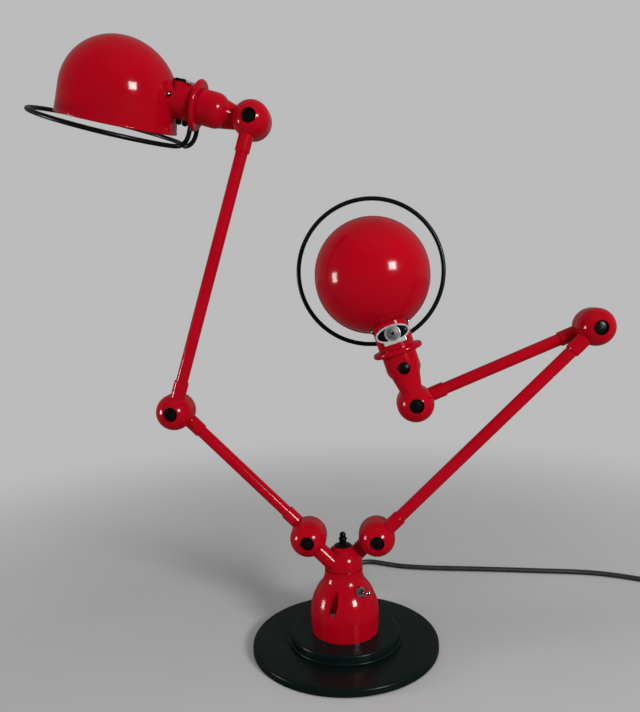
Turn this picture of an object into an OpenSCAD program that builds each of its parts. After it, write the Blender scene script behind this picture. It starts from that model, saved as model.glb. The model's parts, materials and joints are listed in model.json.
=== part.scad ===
// Two-headed jointed desk lamp in millimetres, +Z up, posed as it was photographed.
// The origin is the middle of the resting face, and -Y looks toward the viewer.

/* [Base] */
// Diameter of the heavy base plate
base_d = 192; // [184:1:200]
// Height of the base plate's top above the table
base_top = 8; // [7.5:0.5:9]
// Diameter of the foot disc that stands on the plate
foot_d = 112; // [106:1:118]
// Thickness of the foot disc
foot_h = 9.5; // [9:0.5:10.5]

/* [Pedestal] */
// Largest radius of the bell
bell_r = 35.3; // [34.8:0.1:36]
// Height of the bell's upright band
band_h = 18.5; // [17:0.5:20]
// Height of the bell from its foot to its top
bell_h = 66.5; // [65:0.5:68]
// Radius of the bell's neck and of the turret
neck_r = 19.5; // [19:0.1:20]
// Radius of the arc that closes the bell
bulge_r = 50; // [49:0.5:51]
// Radius of the spindle that the turret turns on
spindle_r = 5; // [4.5:0.1:5.5]

/* [Turret] */
// Height of the turret cap
turret_h = 21.4; // [21:0.1:22.4]
// Distance of each base joint from the turret's axis
stem_x = 35; // [34:0.5:36]
// Height of the base joints above the table
joint_z = 116; // [115:0.5:118]

/* [Joints] */
// Radius of a ball joint
ball_r = 18.5; // [18:0.1:19]
// Straight part of each half ball beside the split
skirt = 6; // [5.5:0.1:6.5]
// Space between the two halves of a ball
split = 0.6; // [0.6:0.1:0.8]
// Radius of the pivot bolt
pivot_r = 3; // [2.8:0.1:3.2]
// Radius of the black cap over each bolt end
cap_r = 7.3; // [7:0.1:7.5]

/* [Arms] */
// Length of a long arm between its pivots
arm_long = 300; // [298:1:302]
// Length of a short arm between its pivots
arm_short = 188; // [186:1:190]
// Outer radius of an arm tube
tube_r = 6; // [5.8:0.1:6.2]
// Outer radius of the stub that takes the tube
stub_r = 7.3; // [7.2:0.1:7.5]

/* [Heads] */
// Distance from the head pivot to the middle of the collar
collar_x = 55.8; // [55:0.2:57]
// Radius of the collar
collar_r = 25; // [24:0.5:26]
// Radius of the cup below the collar
cup_r = 17.2; // [16.8:0.1:17.8]
// Radius of the lampholder housing
housing_r = 18; // [17.5:0.1:18.5]
// Distance from the head pivot to the shade's axis
shade_x = 136; // [135:0.5:138]
// Radius of the shade's dome
dome_r = 58; // [57:0.5:59]
// Radius of the shade's rim
rim_r = 59.5; // [59:0.5:61]
// Distance from the neck axis to the rim plane
rim_z = 36; // [35:0.5:37]
// Mean radius of the wire guard
guard_r = 76; // [75:0.5:77]
// Radius of the guard's wire
wire_r = 2.2; // [2:0.1:2.3]

/* [Cord] */
// Radius of the mains cord
cord_r = 3; // [2.8:0.1:3.1]

/* [Hidden] */
$fn = 64;

enamel = [0.68, 0.02, 0.08];
black = [0.03, 0.03, 0.03];
iron = [0.05, 0.09, 0.08];
steel = [0.75, 0.76, 0.78];
fibre = [0.35, 0.22, 0.12];
glaze = [0.93, 0.91, 0.86];

front = -1;
back = 1;
eps = 0.01;
// running clearance of a pin in its bore, and clearance of a push fit
run = 0.05;
fit = 0.05;
// clearance between faces that move past each other
pass = 0.3;

// Angles of the arms, necks and heads in the photograph
left_lower_a = 134.8;
left_upper_a = 72.4;
left_neck_a = 162.2;
left_roll = 11.8;
right_lower_a = 44.1;
right_upper_a = 202.4;
right_neck_a = 107.1;
right_roll = 89.6;

function along(a, d) = d * [cos(a), 0, sin(a)];
left_1 = [-stem_x, 0, joint_z];
left_2 = left_1 + along(left_lower_a, arm_short);
left_3 = left_2 + along(left_upper_a, arm_long);
right_1 = [stem_x, 0, joint_z];
right_2 = right_1 + along(right_lower_a, arm_long);
right_3 = right_2 + along(right_upper_a, arm_short);

// Base and pedestal heights
pad_inset = 8;
pad_h = 2.3;
plate_lift = 0.8;
foot_z = base_top;
bell_z = foot_z + foot_h;
crease_z = bell_z + band_h;
bell_top = bell_z + bell_h;
bell_foot_r = bell_r - 1;
cavity_r = 21;
cavity_top = bell_top - 24;

// Bell outline: an arc that closes in from the band and a hollow one up to the neck
bulge_x = bell_r - bulge_r;
hollow_z = bell_top - 4;
hollow_r = ((neck_r - bulge_x) ^ 2 + (hollow_z - crease_z) ^ 2 - bulge_r ^ 2)
    / (2 * (bulge_r - neck_r + bulge_x));
meet = bulge_r / (bulge_r + hollow_r);
meet_r = bulge_x + meet * (neck_r + hollow_r - bulge_x);
meet_z = crease_z + meet * (hollow_z - crease_z);
meet_step = 0.04;
groove_h = 1.2;
groove_d = 1.4;

// Screw recesses of the bell: compass angles are from -Y toward +X
recess_angles = [-19, 101, -139];
recess_at = bell_r - 4.8;
recess_r = 4.7;
recess_in = 3;
recess_z = crease_z + 9.4;
screw_r = 2;
screw_head_r = 3.7;
screw_head_h = 2.6;
screw_end = foot_z + 3;

// Toggle switch in the side of the bell
toggle_turn = 40;
toggle_tilt = 28;
toggle_z = crease_z + 28.8;
toggle_at = bulge_x + sqrt(bulge_r ^ 2 - (toggle_z - crease_z) ^ 2);
bushing_r = 3;
bushing_bore = 2.3;
bushing_out = 3.6;
toggle_nut_r = 5.6;
toggle_nut_h = 2.2;
toggle_body_r = 6;
toggle_body_h = 7;
toggle_wall = 8;
lever_ball = 2;
lever_len = 14;
lever_tip = 2.3;
lever_rest = -12;

// Turret
turret_z = bell_top + pass;
turret_top = turret_z + turret_h;
turret_side = 4;
turret_top_r = 8.9;
spindle_flange_r = 9;
spindle_flange_h = 3.3;
finial_z = turret_top + pass;
stud_r = 2;
stud_h = 8;
stem_r = 8.3;
stem_angle = 45;
stem_reach = 36;

// Ball joint depths, measured outward from the split plane
arm_y = 9;
half = split / 2;
cap_floor = 17.5;
cap_h = 2.2;
head_floor = 11.5;
head_r = 5.2;
head_h = 4;
contact_r = 12.8;
contact_h = 3;
stub_len = 33;
socket_from = 21;

// Head measures along the neck
cup_end = collar_x - 3.3;
cup_from = 38;
cup_round = 13;
link_r = 7.4;
link_top_r = 15.8;
link_tilt = 10.7;
link_y = 12.2;
spigot_r = 12;
spigot_from = 46;
bore_from = 45.5;
button_x = 38.7;
button_r = 5.7;
button_in = 8;
button_out = 17.8;
button_dome = 1.8;
button_floor = 4.5;
collar_edge = 3;
housing_from = collar_x + collar_edge;
housing_to = 90;
housing_wall = 2;
plate_x = 74.5;
plate_w = 34;
plate_l = 17;
plate_z = 17.2;
plate_h = 1.8;
plate_boss_r = 7.8;
plate_boss_h = 1;
head_tilt = 3;
dome_z = 13;
shade_wall = 1.2;
rim_bead = 1.3;
guard_shift = 6;
guard_x = shade_x + guard_shift;
guard_z = 43;
guard_tilt = 0.5;
guard_open = 16;
guard_steps = 72;
leg_y = 11.5;
leg_low = 26;
leg_top = 18.5;
leg_steps = 10;
socket_to = 97;
socket_r = 13.5;
socket_bore = 7.1;
bulb_from = 80;
bulb_r = 22.5;
bulb_x = 122;

// Mains cord: the free route from the gland's end, then the coil it runs into
gland_y = 62;
gland_rise = 9.5;
gland_z = bell_z + gland_rise;
gland_seat = 34;
gland_r = 5;
gland_flange_r = 7.5;
gland_flange_h = 2.2;
lie_z = 3.2;
route = concat([[0, gland_y, gland_z], [0, 70, gland_z], [0, 84, gland_z - 1.5], [0, 98, gland_z - 5.5],
    [0, 112, gland_z - 11.5], [0, 126, 9.5], [0, 142, 5]],
    [for (p = [[0, 157], [0, 170], [0, 183], [3.5, 195.5], [12.5, 204], [24.5, 207.5], [36, 205], [50, 199],
        [70, 192], [104, 187], [150, 184], [200, 180.5], [248, 176.5], [285, 173.5], [315, 168], [338, 160],
        [358, 151], [381, 141], [404, 131.5], [418, 125.7]]) [p[0], p[1], lie_z]]);
route_steps = 2;
cord_sides = 10;
coil_step = 7.2;
coil_in = 23.5;
coil_turns = 2.75;
coil_rings = 24;
coil_sides = 6;
coil_lead = 8;
coil_tail = 20;
coil_out = coil_in + coil_step * coil_turns;
route_end = route[len(route) - 1];
route_heading = route_end - route[len(route) - 2];
heading = atan2(route_heading[1], route_heading[0]);
coil_z = route_end[2];
plug_relief = 26;
plug_len = 34;
plug_w = 32;
plug_h = 19;
plug_pin_r = 2.4;
plug_pin_len = 19;
plug_pin_y = 9.5;

// Vector and sweep helpers
function unit(v) = v / norm(v);
function lay(v, t) = unit(v - (v * t) * t);
function tangent(p, i) = unit(p[min(i + 1, len(p) - 1)] - p[max(i - 1, 0)]);
function sides_of(p, first) = [for (i = 0, u = lay(first, tangent(p, 0)); i < len(p);
    i = i + 1, u = lay(u, tangent(p, min(i, len(p) - 1)))) u];
function bend(a, b, c, d, t) = 0.5 * ((2 * b) + (c - a) * t
    + (2 * a - 5 * b + 4 * c - d) * t ^ 2 + (3 * b - a - 3 * c + d) * t ^ 3);
function smooth(p, n) = [for (i = [0 : len(p) - 2], k = [0 : n - 1])
    bend(i > 0 ? p[i - 1] : 2 * p[0] - p[1], p[i], p[i + 1],
        i < len(p) - 2 ? p[i + 2] : 2 * p[i + 1] - p[i], k / n), p[len(p) - 1]];
function bezier(a, b, c, d, t) = (1 - t) ^ 3 * a + 3 * (1 - t) ^ 2 * t * b
    + 3 * (1 - t) * t ^ 2 * c + t ^ 3 * d;

// A round tube of triangles along a path, closed flat at both ends
module swept(path, r, n, first) {
    u = sides_of(path, first);
    rings = [for (i = [0 : len(path) - 1]) let (t = tangent(path, i), v = cross(t, u[i]))
        for (k = [0 : n - 1]) path[i] + r * (cos(360 * k / n) * u[i] + sin(360 * k / n) * v)];
    last = (len(path) - 1) * n;
    walls = [for (i = [0 : len(path) - 2], k = [0 : n - 1])
        let (a = i * n + k, b = i * n + (k + 1) % n) each [[a, a + n, b], [b, a + n, b + n]]];
    ends = [for (k = [1 : n - 2]) each [[0, k, k + 1], [last, last + k + 1, last + k]]];
    polyhedron(points = rings, faces = concat(walls, ends));
}

// Local frames: a link along local +X in the swing plane, and a pole of a ball
module link_frame(origin, angle) {
    translate(origin) rotate([0, -angle, 0]) children();
}

module pole(side) {
    rotate([-90 * side, 0, 0]) children();
}

module head_frame(origin, angle, roll) {
    link_frame(origin, angle) rotate([-roll, 0, 0]) children();
}

module about_x() {
    rotate([0, 90, 0]) children();
}

module compass(a) {
    rotate([0, 0, a]) children();
}

// Base
module base_plate() {
    edge = 2.5;
    color(iron) rotate_extrude($fn = 96) difference() {
        union() {
            translate([0, plate_lift]) square([base_d / 2, base_top - plate_lift - edge]);
            translate([0, base_top - edge - eps]) square([base_d / 2 - edge, edge + eps]);
            translate([base_d / 2 - edge, base_top - edge]) circle(edge);
        }
        translate([0, -1]) square([base_d / 2 - pad_inset, pad_h + 1]);
    }
}

module base_pad() {
    color(black) cylinder(r = base_d / 2 - pad_inset - pass, h = pad_h, $fn = 96);
}

module foot_disc() {
    edge = 2.5;
    lip_h = 3;
    lip_w = 3;
    color(iron) difference() {
        rotate_extrude($fn = 96) {
            translate([0, foot_z]) square([foot_d / 2, foot_h - edge]);
            translate([0, bell_z - edge - eps]) square([foot_d / 2 - edge, edge + eps]);
            translate([foot_d / 2 - edge, bell_z - edge]) circle(edge);
            translate([0, foot_z]) square([foot_d / 2 + lip_w - lip_h / 2, lip_h]);
            translate([foot_d / 2 + lip_w - lip_h / 2, foot_z + lip_h / 2]) circle(lip_h / 2);
        }
        at_recesses() translate([0, 0, screw_end - 0.5]) cylinder(r = screw_r + fit, h = foot_h);
    }
}

module at_recesses() {
    for (a = recess_angles) compass(a) translate([0, -recess_at, 0]) children();
}

module toggle_frame() {
    compass(toggle_turn) translate([0, -toggle_at, toggle_z])
        rotate([90 - toggle_tilt, 0, 0]) children();
}

module bell_outline() {
    polygon([[0, bell_z], [bell_foot_r, bell_z], [bell_r, crease_z], [0, crease_z]]);
    intersection() {
        translate([bulge_x, crease_z]) circle(bulge_r);
        translate([0, crease_z]) square([bell_r, meet_z - crease_z]);
    }
    difference() {
        translate([0, meet_z - eps]) square([meet_r, hollow_z - meet_z + eps]);
        translate([neck_r + hollow_r, hollow_z]) circle(hollow_r + meet_step);
    }
    translate([0, hollow_z - eps]) square([neck_r, bell_top - groove_h - hollow_z + eps]);
    translate([0, hollow_z - eps]) square([neck_r - groove_d, bell_top - hollow_z + eps]);
}

module pedestal() {
    color(enamel) difference() {
        rotate_extrude($fn = 96) bell_outline();
        translate([0, 0, bell_z - 1]) cylinder(r = cavity_r, h = cavity_top - bell_z + 1);
        cylinder(r = spindle_r + fit, h = bell_top + 1);
        at_recesses() {
            for (d = [0, recess_in]) translate([0, d, recess_z])
                cylinder(r = recess_r, h = bell_h);
            translate([0, 0, bell_z - 1]) cylinder(r = screw_r + fit, h = bell_h);
        }
        toggle_frame() {
            cylinder(r = toggle_nut_r + 0.5, h = 20);
            translate([0, 0, -20]) cylinder(r = bushing_r + fit, h = 30);
            translate([0, 0, -toggle_wall - toggle_body_h - 2])
                cylinder(r = toggle_body_r + 0.4, h = toggle_body_h + 2);
        }
        translate([0, gland_seat, gland_z]) pole(back) cylinder(r = gland_flange_r + 0.4, h = 20);
        translate([0, 15, gland_z]) pole(back) cylinder(r = gland_r + fit, h = 30);
    }
}

module pedestal_screws() {
    slot_w = 1;
    color(steel) at_recesses() difference() {
        union() {
            translate([0, 0, screw_end]) cylinder(r = screw_r, h = recess_z - screw_end + 1);
            translate([0, 0, recess_z]) cylinder(r = screw_head_r, h = screw_head_h);
        }
        translate([-screw_head_r - 1, -slot_w / 2, recess_z + screw_head_h - 1])
            cube([2 * screw_head_r + 2, slot_w, 2]);
    }
}

module swivel_spindle() {
    color(steel) union() {
        translate([0, 0, cavity_top - spindle_flange_h])
            cylinder(r = spindle_flange_r, h = spindle_flange_h);
        translate([0, 0, cavity_top - eps])
            cylinder(r = spindle_r, h = finial_z - cavity_top + eps);
        translate([0, 0, finial_z - eps]) cylinder(r = stud_r, h = stud_h + eps);
    }
}

// Black two-bead knob that holds the turret down on the spindle
module finial() {
    skirt_r = turret_top_r - 0.1;
    edge = 0.7;
    skirt_h = 3.4;
    low_r = 4.3;
    bead = 2.1;
    low_z = 7.2;
    top_r = 3.2;
    top_z = 11.4;
    color(black) translate([0, 0, finial_z]) difference() {
        union() {
            cylinder(r = skirt_r, h = edge);
            translate([0, 0, edge - eps]) cylinder(r1 = skirt_r, r2 = low_r - 0.5, h = skirt_h - edge);
            cylinder(r = low_r - 0.8, h = low_z);
            rotate_extrude() {
                translate([low_r - bead, low_z]) circle(bead);
                translate([0, low_z - bead]) square([low_r - bead, 2 * bead]);
            }
            cylinder(r = top_r - 0.3, h = top_z);
            translate([0, 0, top_z]) sphere(top_r);
        }
        translate([0, 0, -1]) cylinder(r = stud_r + fit, h = stud_h + 1.2);
    }
}

// Toggle switch
module toggle_body() {
    color(steel) toggle_frame() difference() {
        union() {
            translate([0, 0, -toggle_wall - toggle_body_h])
                cylinder(r = toggle_body_r, h = toggle_body_h);
            translate([0, 0, -toggle_wall - eps])
                cylinder(r = bushing_r, h = toggle_wall + bushing_out);
        }
        translate([0, 0, -4]) cylinder(r = bushing_bore, h = 20);
    }
}

module toggle_nut() {
    color(steel) toggle_frame() difference() {
        union() {
            cylinder(r = toggle_nut_r, h = toggle_nut_h - 0.8);
            translate([0, 0, toggle_nut_h - 0.8])
                cylinder(r1 = toggle_nut_r, r2 = toggle_nut_r - 1, h = 0.8);
        }
        translate([0, 0, -1]) cylinder(r = bushing_r + fit, h = toggle_nut_h + 2);
    }
}

module toggle_lever() {
    color(steel) toggle_frame() rotate([-lever_rest, 0, 0]) union() {
        sphere(lever_ball);
        cylinder(r1 = 1.1, r2 = lever_tip - 0.6, h = lever_len);
        translate([0, 0, lever_len]) sphere(lever_tip);
    }
}

// Cord set
module cord_gland() {
    seat_in = 10;
    color(black) translate([0, gland_seat, gland_z]) pole(back) union() {
        translate([0, 0, -seat_in]) cylinder(r = gland_r, h = seat_in + eps);
        cylinder(r = gland_flange_r, h = gland_flange_h);
        cylinder(r1 = gland_r + 0.8, r2 = cord_r + 0.9, h = gland_y - gland_seat);
    }
}

module mains_cord() {
    color(black) swept(smooth(route, route_steps), cord_r, cord_sides, [0, 0, 1]);
}

// Coil: in on the lower layer, up a layer while it turns back, out on the upper layer
coil_half = 360 * coil_turns;
coil_turn_back = coil_half + 180;
coil_all = coil_turn_back + coil_half;
function coil_radius(a) = a < coil_half ? coil_out - coil_step * a / 360
    : a < coil_turn_back ? coil_in : coil_in + coil_step * (a - coil_turn_back) / 360;
function coil_height(a) = coil_step * min(1, max(0, (a - coil_half) / 180));
function coil_point(a) = [coil_radius(a) * sin(a), coil_radius(a) * cos(a), coil_height(a)];
coil_loops = [for (i = [0 : round(coil_all * coil_rings / 360)]) coil_point(i * 360 / coil_rings)];
coil_end = coil_loops[len(coil_loops) - 1];
coil_path = concat([[-coil_lead, coil_out, 0]], coil_loops,
    [coil_end + [coil_tail / 2, 0, 0], coil_end + [coil_tail, 0, 0]]);
coil_gaps = [for (i = [0 : 2 : len(coil_path) - 1], j = [i + 12 : len(coil_path) - 1])
    norm(coil_path[i] - coil_path[j])];
echo(coil_least_gap = min(coil_gaps) - 2 * cord_r);

module coil_frame() {
    translate(route_end) rotate([0, 0, heading]) translate([coil_lead, -coil_out, 0]) children();
}

module cord_coil() {
    color(black) coil_frame() swept(coil_path, cord_r, coil_sides, [0, 0, 1]);
}

module mains_plug() {
    edge = 5;
    color(black) coil_frame() translate(coil_end + [coil_tail, 0, 0]) union() {
        about_x() cylinder(r1 = cord_r + 0.8, r2 = cord_r + 3, h = plug_relief);
        for (s = [-1, 1]) translate([plug_relief - eps, s * (plug_w / 2 - edge), 0]) {
            about_x() cylinder(r = edge, h = plug_len);
            translate([plug_len, s * (plug_pin_y - plug_w / 2 + edge), 0])
                about_x() cylinder(r = plug_pin_r, h = plug_pin_len);
        }
        translate([plug_relief, edge - plug_w / 2, -plug_h / 2])
            cube([plug_len - eps, plug_w - 2 * edge, plug_h]);
    }
}

// Turret
module turret_cap() {
    shoulder_z = turret_z + turret_side;
    narrowing = neck_r - turret_top_r;
    bow = (narrowing ^ 2 + (turret_top - shoulder_z) ^ 2) / (2 * narrowing);
    color(enamel) difference() {
        rotate_extrude($fn = 96) {
            translate([0, turret_z]) square([neck_r, turret_side]);
            intersection() {
                translate([neck_r - bow, shoulder_z]) circle(bow - meet_step);
                translate([0, shoulder_z - eps]) square([neck_r, turret_top - shoulder_z + eps]);
            }
        }
        translate([0, 0, turret_z - 1]) cylinder(r = spindle_r + run, h = turret_h + 2);
        link_frame(left_1, -stem_angle) stem_socket(front);
        link_frame(right_1, 180 + stem_angle) stem_socket(back);
    }
}

module stem_socket(side) {
    translate([0, side * arm_y, 0]) about_x() cylinder(r = stem_r + fit, h = stem_reach);
}

module left_stem() {
    color(enamel) link_frame(left_1, -stem_angle) knuckle(front, stem_r, stem_reach, false);
}

module right_stem() {
    color(enamel) link_frame(right_1, 180 + stem_angle) knuckle(back, stem_r, stem_reach, false);
}

module turret_caps() {
    color(black) {
        link_frame(left_1, 0) bolt_cap(front);
        link_frame(right_1, 0) bolt_cap(back);
    }
}

module turret_pivots() {
    color(steel) for (at = [left_1, right_1]) link_frame(at, 0) pivot_bolt();
}

module turret_contacts() {
    color(fibre) for (at = [left_1, right_1]) link_frame(at, 0) contact_disc();
}

// Half ball with its stub: one module for every joint of the lamp
module half_ball(side) {
    pole(side) rotate_extrude() {
        translate([0, half]) square([ball_r, skirt - half]);
        intersection() {
            translate([0, skirt]) circle(ball_r);
            translate([0, skirt - eps]) square([ball_r, ball_r + 1]);
        }
    }
}

module joint_bores(side) {
    pole(side) {
        translate([0, 0, cap_floor]) cylinder(r = cap_r + fit, h = ball_r);
        translate([0, 0, head_floor]) cylinder(r = head_r + 0.6, h = ball_r);
        translate([0, 0, -1]) cylinder(r = pivot_r + run, h = ball_r);
        translate([0, 0, -1]) cylinder(r = contact_r + pass, h = 1 + contact_h / 2 + pass);
    }
}

module knuckle(side, arm_r, reach, takes_tube) {
    lip = 0.8;
    difference() {
        union() {
            half_ball(side);
            translate([0, side * arm_y, 0]) about_x() {
                cylinder(r = arm_r, h = reach - lip);
                translate([0, 0, reach - lip - eps])
                    cylinder(r1 = arm_r, r2 = arm_r - lip * 0.6, h = lip);
            }
        }
        joint_bores(side);
        if (takes_tube) translate([socket_from, side * arm_y, 0])
            about_x() cylinder(r = tube_r + fit, h = reach);
    }
}

module bolt_cap(side) {
    dome = 1.2;
    bow = (cap_r ^ 2 + dome ^ 2) / (2 * dome);
    pole(side) translate([0, 0, cap_floor]) rotate_extrude() {
        square([cap_r, cap_h]);
        intersection() {
            translate([0, cap_h + dome - bow]) circle(bow);
            translate([0, cap_h / 2]) square([cap_r, cap_h + dome]);
        }
    }
}

module pivot_bolt() {
    head_at = head_floor + pass;
    translate([0, -head_at - head_h, 0]) pole(back) cylinder(r = pivot_r, h = 2 * (head_at + head_h));
    pole(front) translate([0, 0, head_at]) cylinder(r = head_r, h = head_h);
    pole(back) translate([0, 0, head_at]) cylinder(r = head_r, h = head_h, $fn = 6);
}

module contact_disc() {
    translate([0, -contact_h / 2, 0]) pole(back) difference() {
        cylinder(r = contact_r, h = contact_h);
        translate([0, 0, -1]) cylinder(r = pivot_r + run, h = contact_h + 2);
    }
}

// Arms: a tube between two knuckles that lie on the same side of the split
module arm_tube(side, length) {
    wall = 1.2;
    gap_in = 0.5;
    translate([socket_from + gap_in, side * arm_y, 0]) about_x() difference() {
        cylinder(r = tube_r, h = length - 2 * (socket_from + gap_in));
        translate([0, 0, -1]) cylinder(r = tube_r - wall, h = length);
    }
}

module arm_caps(side, length) {
    for (x = [0, length]) translate([x, 0, 0]) bolt_cap(side);
}

module far_knuckle(side, length) {
    translate([length, 0, 0]) rotate([0, 180, 0]) knuckle(side, stub_r, stub_len, true);
}

module left_lower_tube() {
    color(enamel) link_frame(left_1, left_lower_a) arm_tube(back, arm_short);
}

module left_base_knuckle() {
    color(enamel) link_frame(left_1, left_lower_a) knuckle(back, stub_r, stub_len, true);
}

module left_lower_elbow() {
    color(enamel) link_frame(left_1, left_lower_a) far_knuckle(back, arm_short);
}

module left_lower_caps() {
    color(black) link_frame(left_1, left_lower_a) arm_caps(back, arm_short);
}

module left_upper_tube() {
    color(enamel) link_frame(left_2, left_upper_a) arm_tube(front, arm_long);
}

module left_upper_elbow() {
    color(enamel) link_frame(left_2, left_upper_a) knuckle(front, stub_r, stub_len, true);
}

module left_head_knuckle() {
    color(enamel) link_frame(left_2, left_upper_a) far_knuckle(front, arm_long);
}

module left_upper_caps() {
    color(black) link_frame(left_2, left_upper_a) arm_caps(front, arm_long);
}

module left_pivots() {
    color(steel) for (at = [left_2, left_3]) link_frame(at, 0) pivot_bolt();
}

module left_contacts() {
    color(fibre) for (at = [left_2, left_3]) link_frame(at, 0) contact_disc();
}

module right_lower_tube() {
    color(enamel) link_frame(right_1, right_lower_a) arm_tube(front, arm_long);
}

module right_base_knuckle() {
    color(enamel) link_frame(right_1, right_lower_a) knuckle(front, stub_r, stub_len, true);
}

module right_lower_elbow() {
    color(enamel) link_frame(right_1, right_lower_a) far_knuckle(front, arm_long);
}

module right_lower_caps() {
    color(black) link_frame(right_1, right_lower_a) arm_caps(front, arm_long);
}

module right_upper_tube() {
    color(enamel) link_frame(right_2, right_upper_a) arm_tube(back, arm_short);
}

module right_upper_elbow() {
    color(enamel) link_frame(right_2, right_upper_a) knuckle(back, stub_r, stub_len, true);
}

module right_head_knuckle() {
    color(enamel) link_frame(right_2, right_upper_a) far_knuckle(back, arm_short);
}

module right_upper_caps() {
    color(black) link_frame(right_2, right_upper_a) arm_caps(back, arm_short);
}

module right_pivots() {
    color(steel) for (at = [right_2, right_3]) link_frame(at, 0) pivot_bolt();
}

module right_contacts() {
    color(fibre) for (at = [right_2, right_3]) link_frame(at, 0) contact_disc();
}

// Neck casting: a half ball, a slanted link and a cup that the head turns in
module neck_casting(side) {
    difference() {
        union() {
            half_ball(side);
            translate([0, side * link_y, 0]) rotate([0, 0, -side * link_tilt])
                about_x() cylinder(r1 = link_r, r2 = link_top_r, h = cup_from);
            about_x() rotate_extrude() {
                translate([0, cup_from]) square([cup_r, cup_end - cup_from]);
                translate([0, cup_from - cup_round])
                    square([cup_r - cup_round, cup_round + eps]);
                intersection() {
                    translate([cup_r - cup_round, cup_from]) circle(cup_round);
                    translate([0, cup_from - cup_round]) square([cup_r, cup_round + eps]);
                }
            }
        }
        joint_bores(side);
        translate([0, side * half, 0]) pole(-side) cylinder(r = ball_r + 0.8, h = 2 * ball_r);
        translate([bore_from, 0, 0]) about_x() cylinder(r = spigot_r + run, h = 30);
        translate([button_x, side * button_floor, 0]) pole(side)
            cylinder(r = button_r + pass, h = 30);
    }
}

module push_button(side) {
    bow = (button_r ^ 2 + button_dome ^ 2) / (2 * button_dome);
    translate([button_x, 0, 0]) pole(side) rotate_extrude() {
        translate([0, button_in]) square([button_r, button_out - button_in]);
        intersection() {
            translate([0, button_out + button_dome - bow]) circle(bow);
            translate([0, button_in]) square([button_r, button_out + button_dome - button_in]);
        }
    }
}

module left_neck() {
    color(enamel) link_frame(left_3, left_neck_a) neck_casting(back);
}

module left_neck_cap() {
    color(black) link_frame(left_3, left_neck_a) bolt_cap(back);
}

module left_button() {
    color(black) link_frame(left_3, left_neck_a) push_button(back);
}

module right_neck() {
    color(enamel) link_frame(right_3, right_neck_a) neck_casting(front);
}

module right_neck_cap() {
    color(black) link_frame(right_3, right_neck_a) bolt_cap(front);
}

module right_button() {
    color(black) link_frame(right_3, right_neck_a) push_button(front);
}

// Head parts in the head frame: +X along the neck, +Z where the light goes
module collar() {
    wire_hole = 6;
    difference() {
        about_x() rotate_extrude($fn = 96) {
            translate([wire_hole, collar_x - collar_edge])
                square([collar_r - collar_edge - wire_hole, 2 * collar_edge]);
            translate([collar_r - collar_edge, collar_x]) circle(collar_edge);
            translate([wire_hole, spigot_from])
                square([spigot_r - wire_hole, collar_x - spigot_from]);
        }
        for (s = [-1, 1]) translate([collar_x, s * leg_y, leg_top - 0.5])
            cylinder(r = wire_r + fit, h = 20);
    }
}

module plate_outline(height, grow) {
    width = plate_w + 2 * grow;
    linear_extrude(height) scale([(plate_l + 2 * grow) / width, 1]) circle(d = width);
}

module housing() {
    difference() {
        union() {
            translate([housing_from, 0, 0])
                about_x() cylinder(r = housing_r, h = housing_to - housing_from);
            translate([plate_x, 0, -plate_z]) plate_outline(plate_z - housing_r / 3, 0);
        }
        translate([plate_x, 0, -plate_z - housing_r]) plate_outline(housing_r, fit);
        translate([housing_from - 1, 0, 0]) about_x()
            cylinder(r = housing_r - housing_wall, h = housing_to);
    }
}

module shade_outline(r, edge_r, top) {
    intersection() {
        translate([0, dome_z]) circle(r);
        translate([0, dome_z - r - 1]) square([r, r + 1 + eps]);
    }
    polygon([[0, dome_z], [r, dome_z], [edge_r, top], [0, top]]);
}

module shade() {
    difference() {
        translate([shade_x, 0, 0]) rotate([0, -head_tilt, 0]) rotate_extrude($fn = 128) difference() {
            union() {
                shade_outline(dome_r, rim_r, rim_z);
                translate([rim_r - rim_bead / 2, rim_z]) circle(rim_bead);
            }
            shade_outline(dome_r - shade_wall, rim_r - shade_wall, rim_z + rim_bead + 1);
        }
        translate([housing_from, 0, 0]) about_x()
            cylinder(r = housing_r + fit, h = shade_x - housing_from);
    }
}

// Guard: an open ring of wire whose two ends bend up into the collar
function tilted(p) = [shade_x + (p[0] - shade_x) * cos(guard_tilt) - p[2] * sin(guard_tilt), p[1],
    (p[0] - shade_x) * sin(guard_tilt) + p[2] * cos(guard_tilt)];
function guard_at(a) = tilted([guard_x - guard_r * cos(a), guard_r * sin(a), guard_z]);
function guard_leg(s) = let (from = guard_at(s * guard_open), to = [collar_x, s * leg_y, leg_low],
    off = tilted([shade_x - sin(guard_open), -s * cos(guard_open), 0]) - tilted([shade_x, 0, 0]))
    [for (i = [1 : leg_steps]) bezier(from, from + 11 * off, to + [0, 0, 15], to, i / leg_steps)];
guard_path = concat([[collar_x, leg_y, leg_top]],
    [for (i = [leg_steps - 1 : -1 : 0]) guard_leg(1)[i]],
    [for (i = [0 : guard_steps]) guard_at(guard_open + (360 - 2 * guard_open) * i / guard_steps)],
    guard_leg(-1), [[collar_x, -leg_y, leg_top]]);

module guard() {
    swept(guard_path, wire_r, 10, [1, 0, 0]);
}

module name_plate() {
    translate([plate_x, 0, -plate_z - plate_h]) {
        plate_outline(plate_h, 0);
        translate([0, 0, -plate_boss_h]) cylinder(r = plate_boss_r, h = plate_boss_h + eps);
    }
}

module lamp_socket() {
    ring_h = 6;
    about_x() difference() {
        union() {
            translate([0, 0, housing_from])
                cylinder(r = housing_r - housing_wall - fit, h = ring_h);
            translate([0, 0, housing_from]) cylinder(r = socket_r, h = socket_to - housing_from);
        }
        translate([0, 0, bulb_from - 1]) cylinder(r = socket_bore, h = 40);
    }
}

module bulb() {
    cap_len = socket_to - bulb_from + 2;
    about_x() union() {
        translate([0, 0, bulb_from]) cylinder(r = socket_bore - fit, h = cap_len);
        translate([0, 0, bulb_from + cap_len - eps])
            cylinder(r1 = socket_bore + 1, r2 = 17, h = bulb_x - 14 - bulb_from - cap_len);
        translate([0, 0, bulb_x]) sphere(bulb_r);
    }
}

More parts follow.
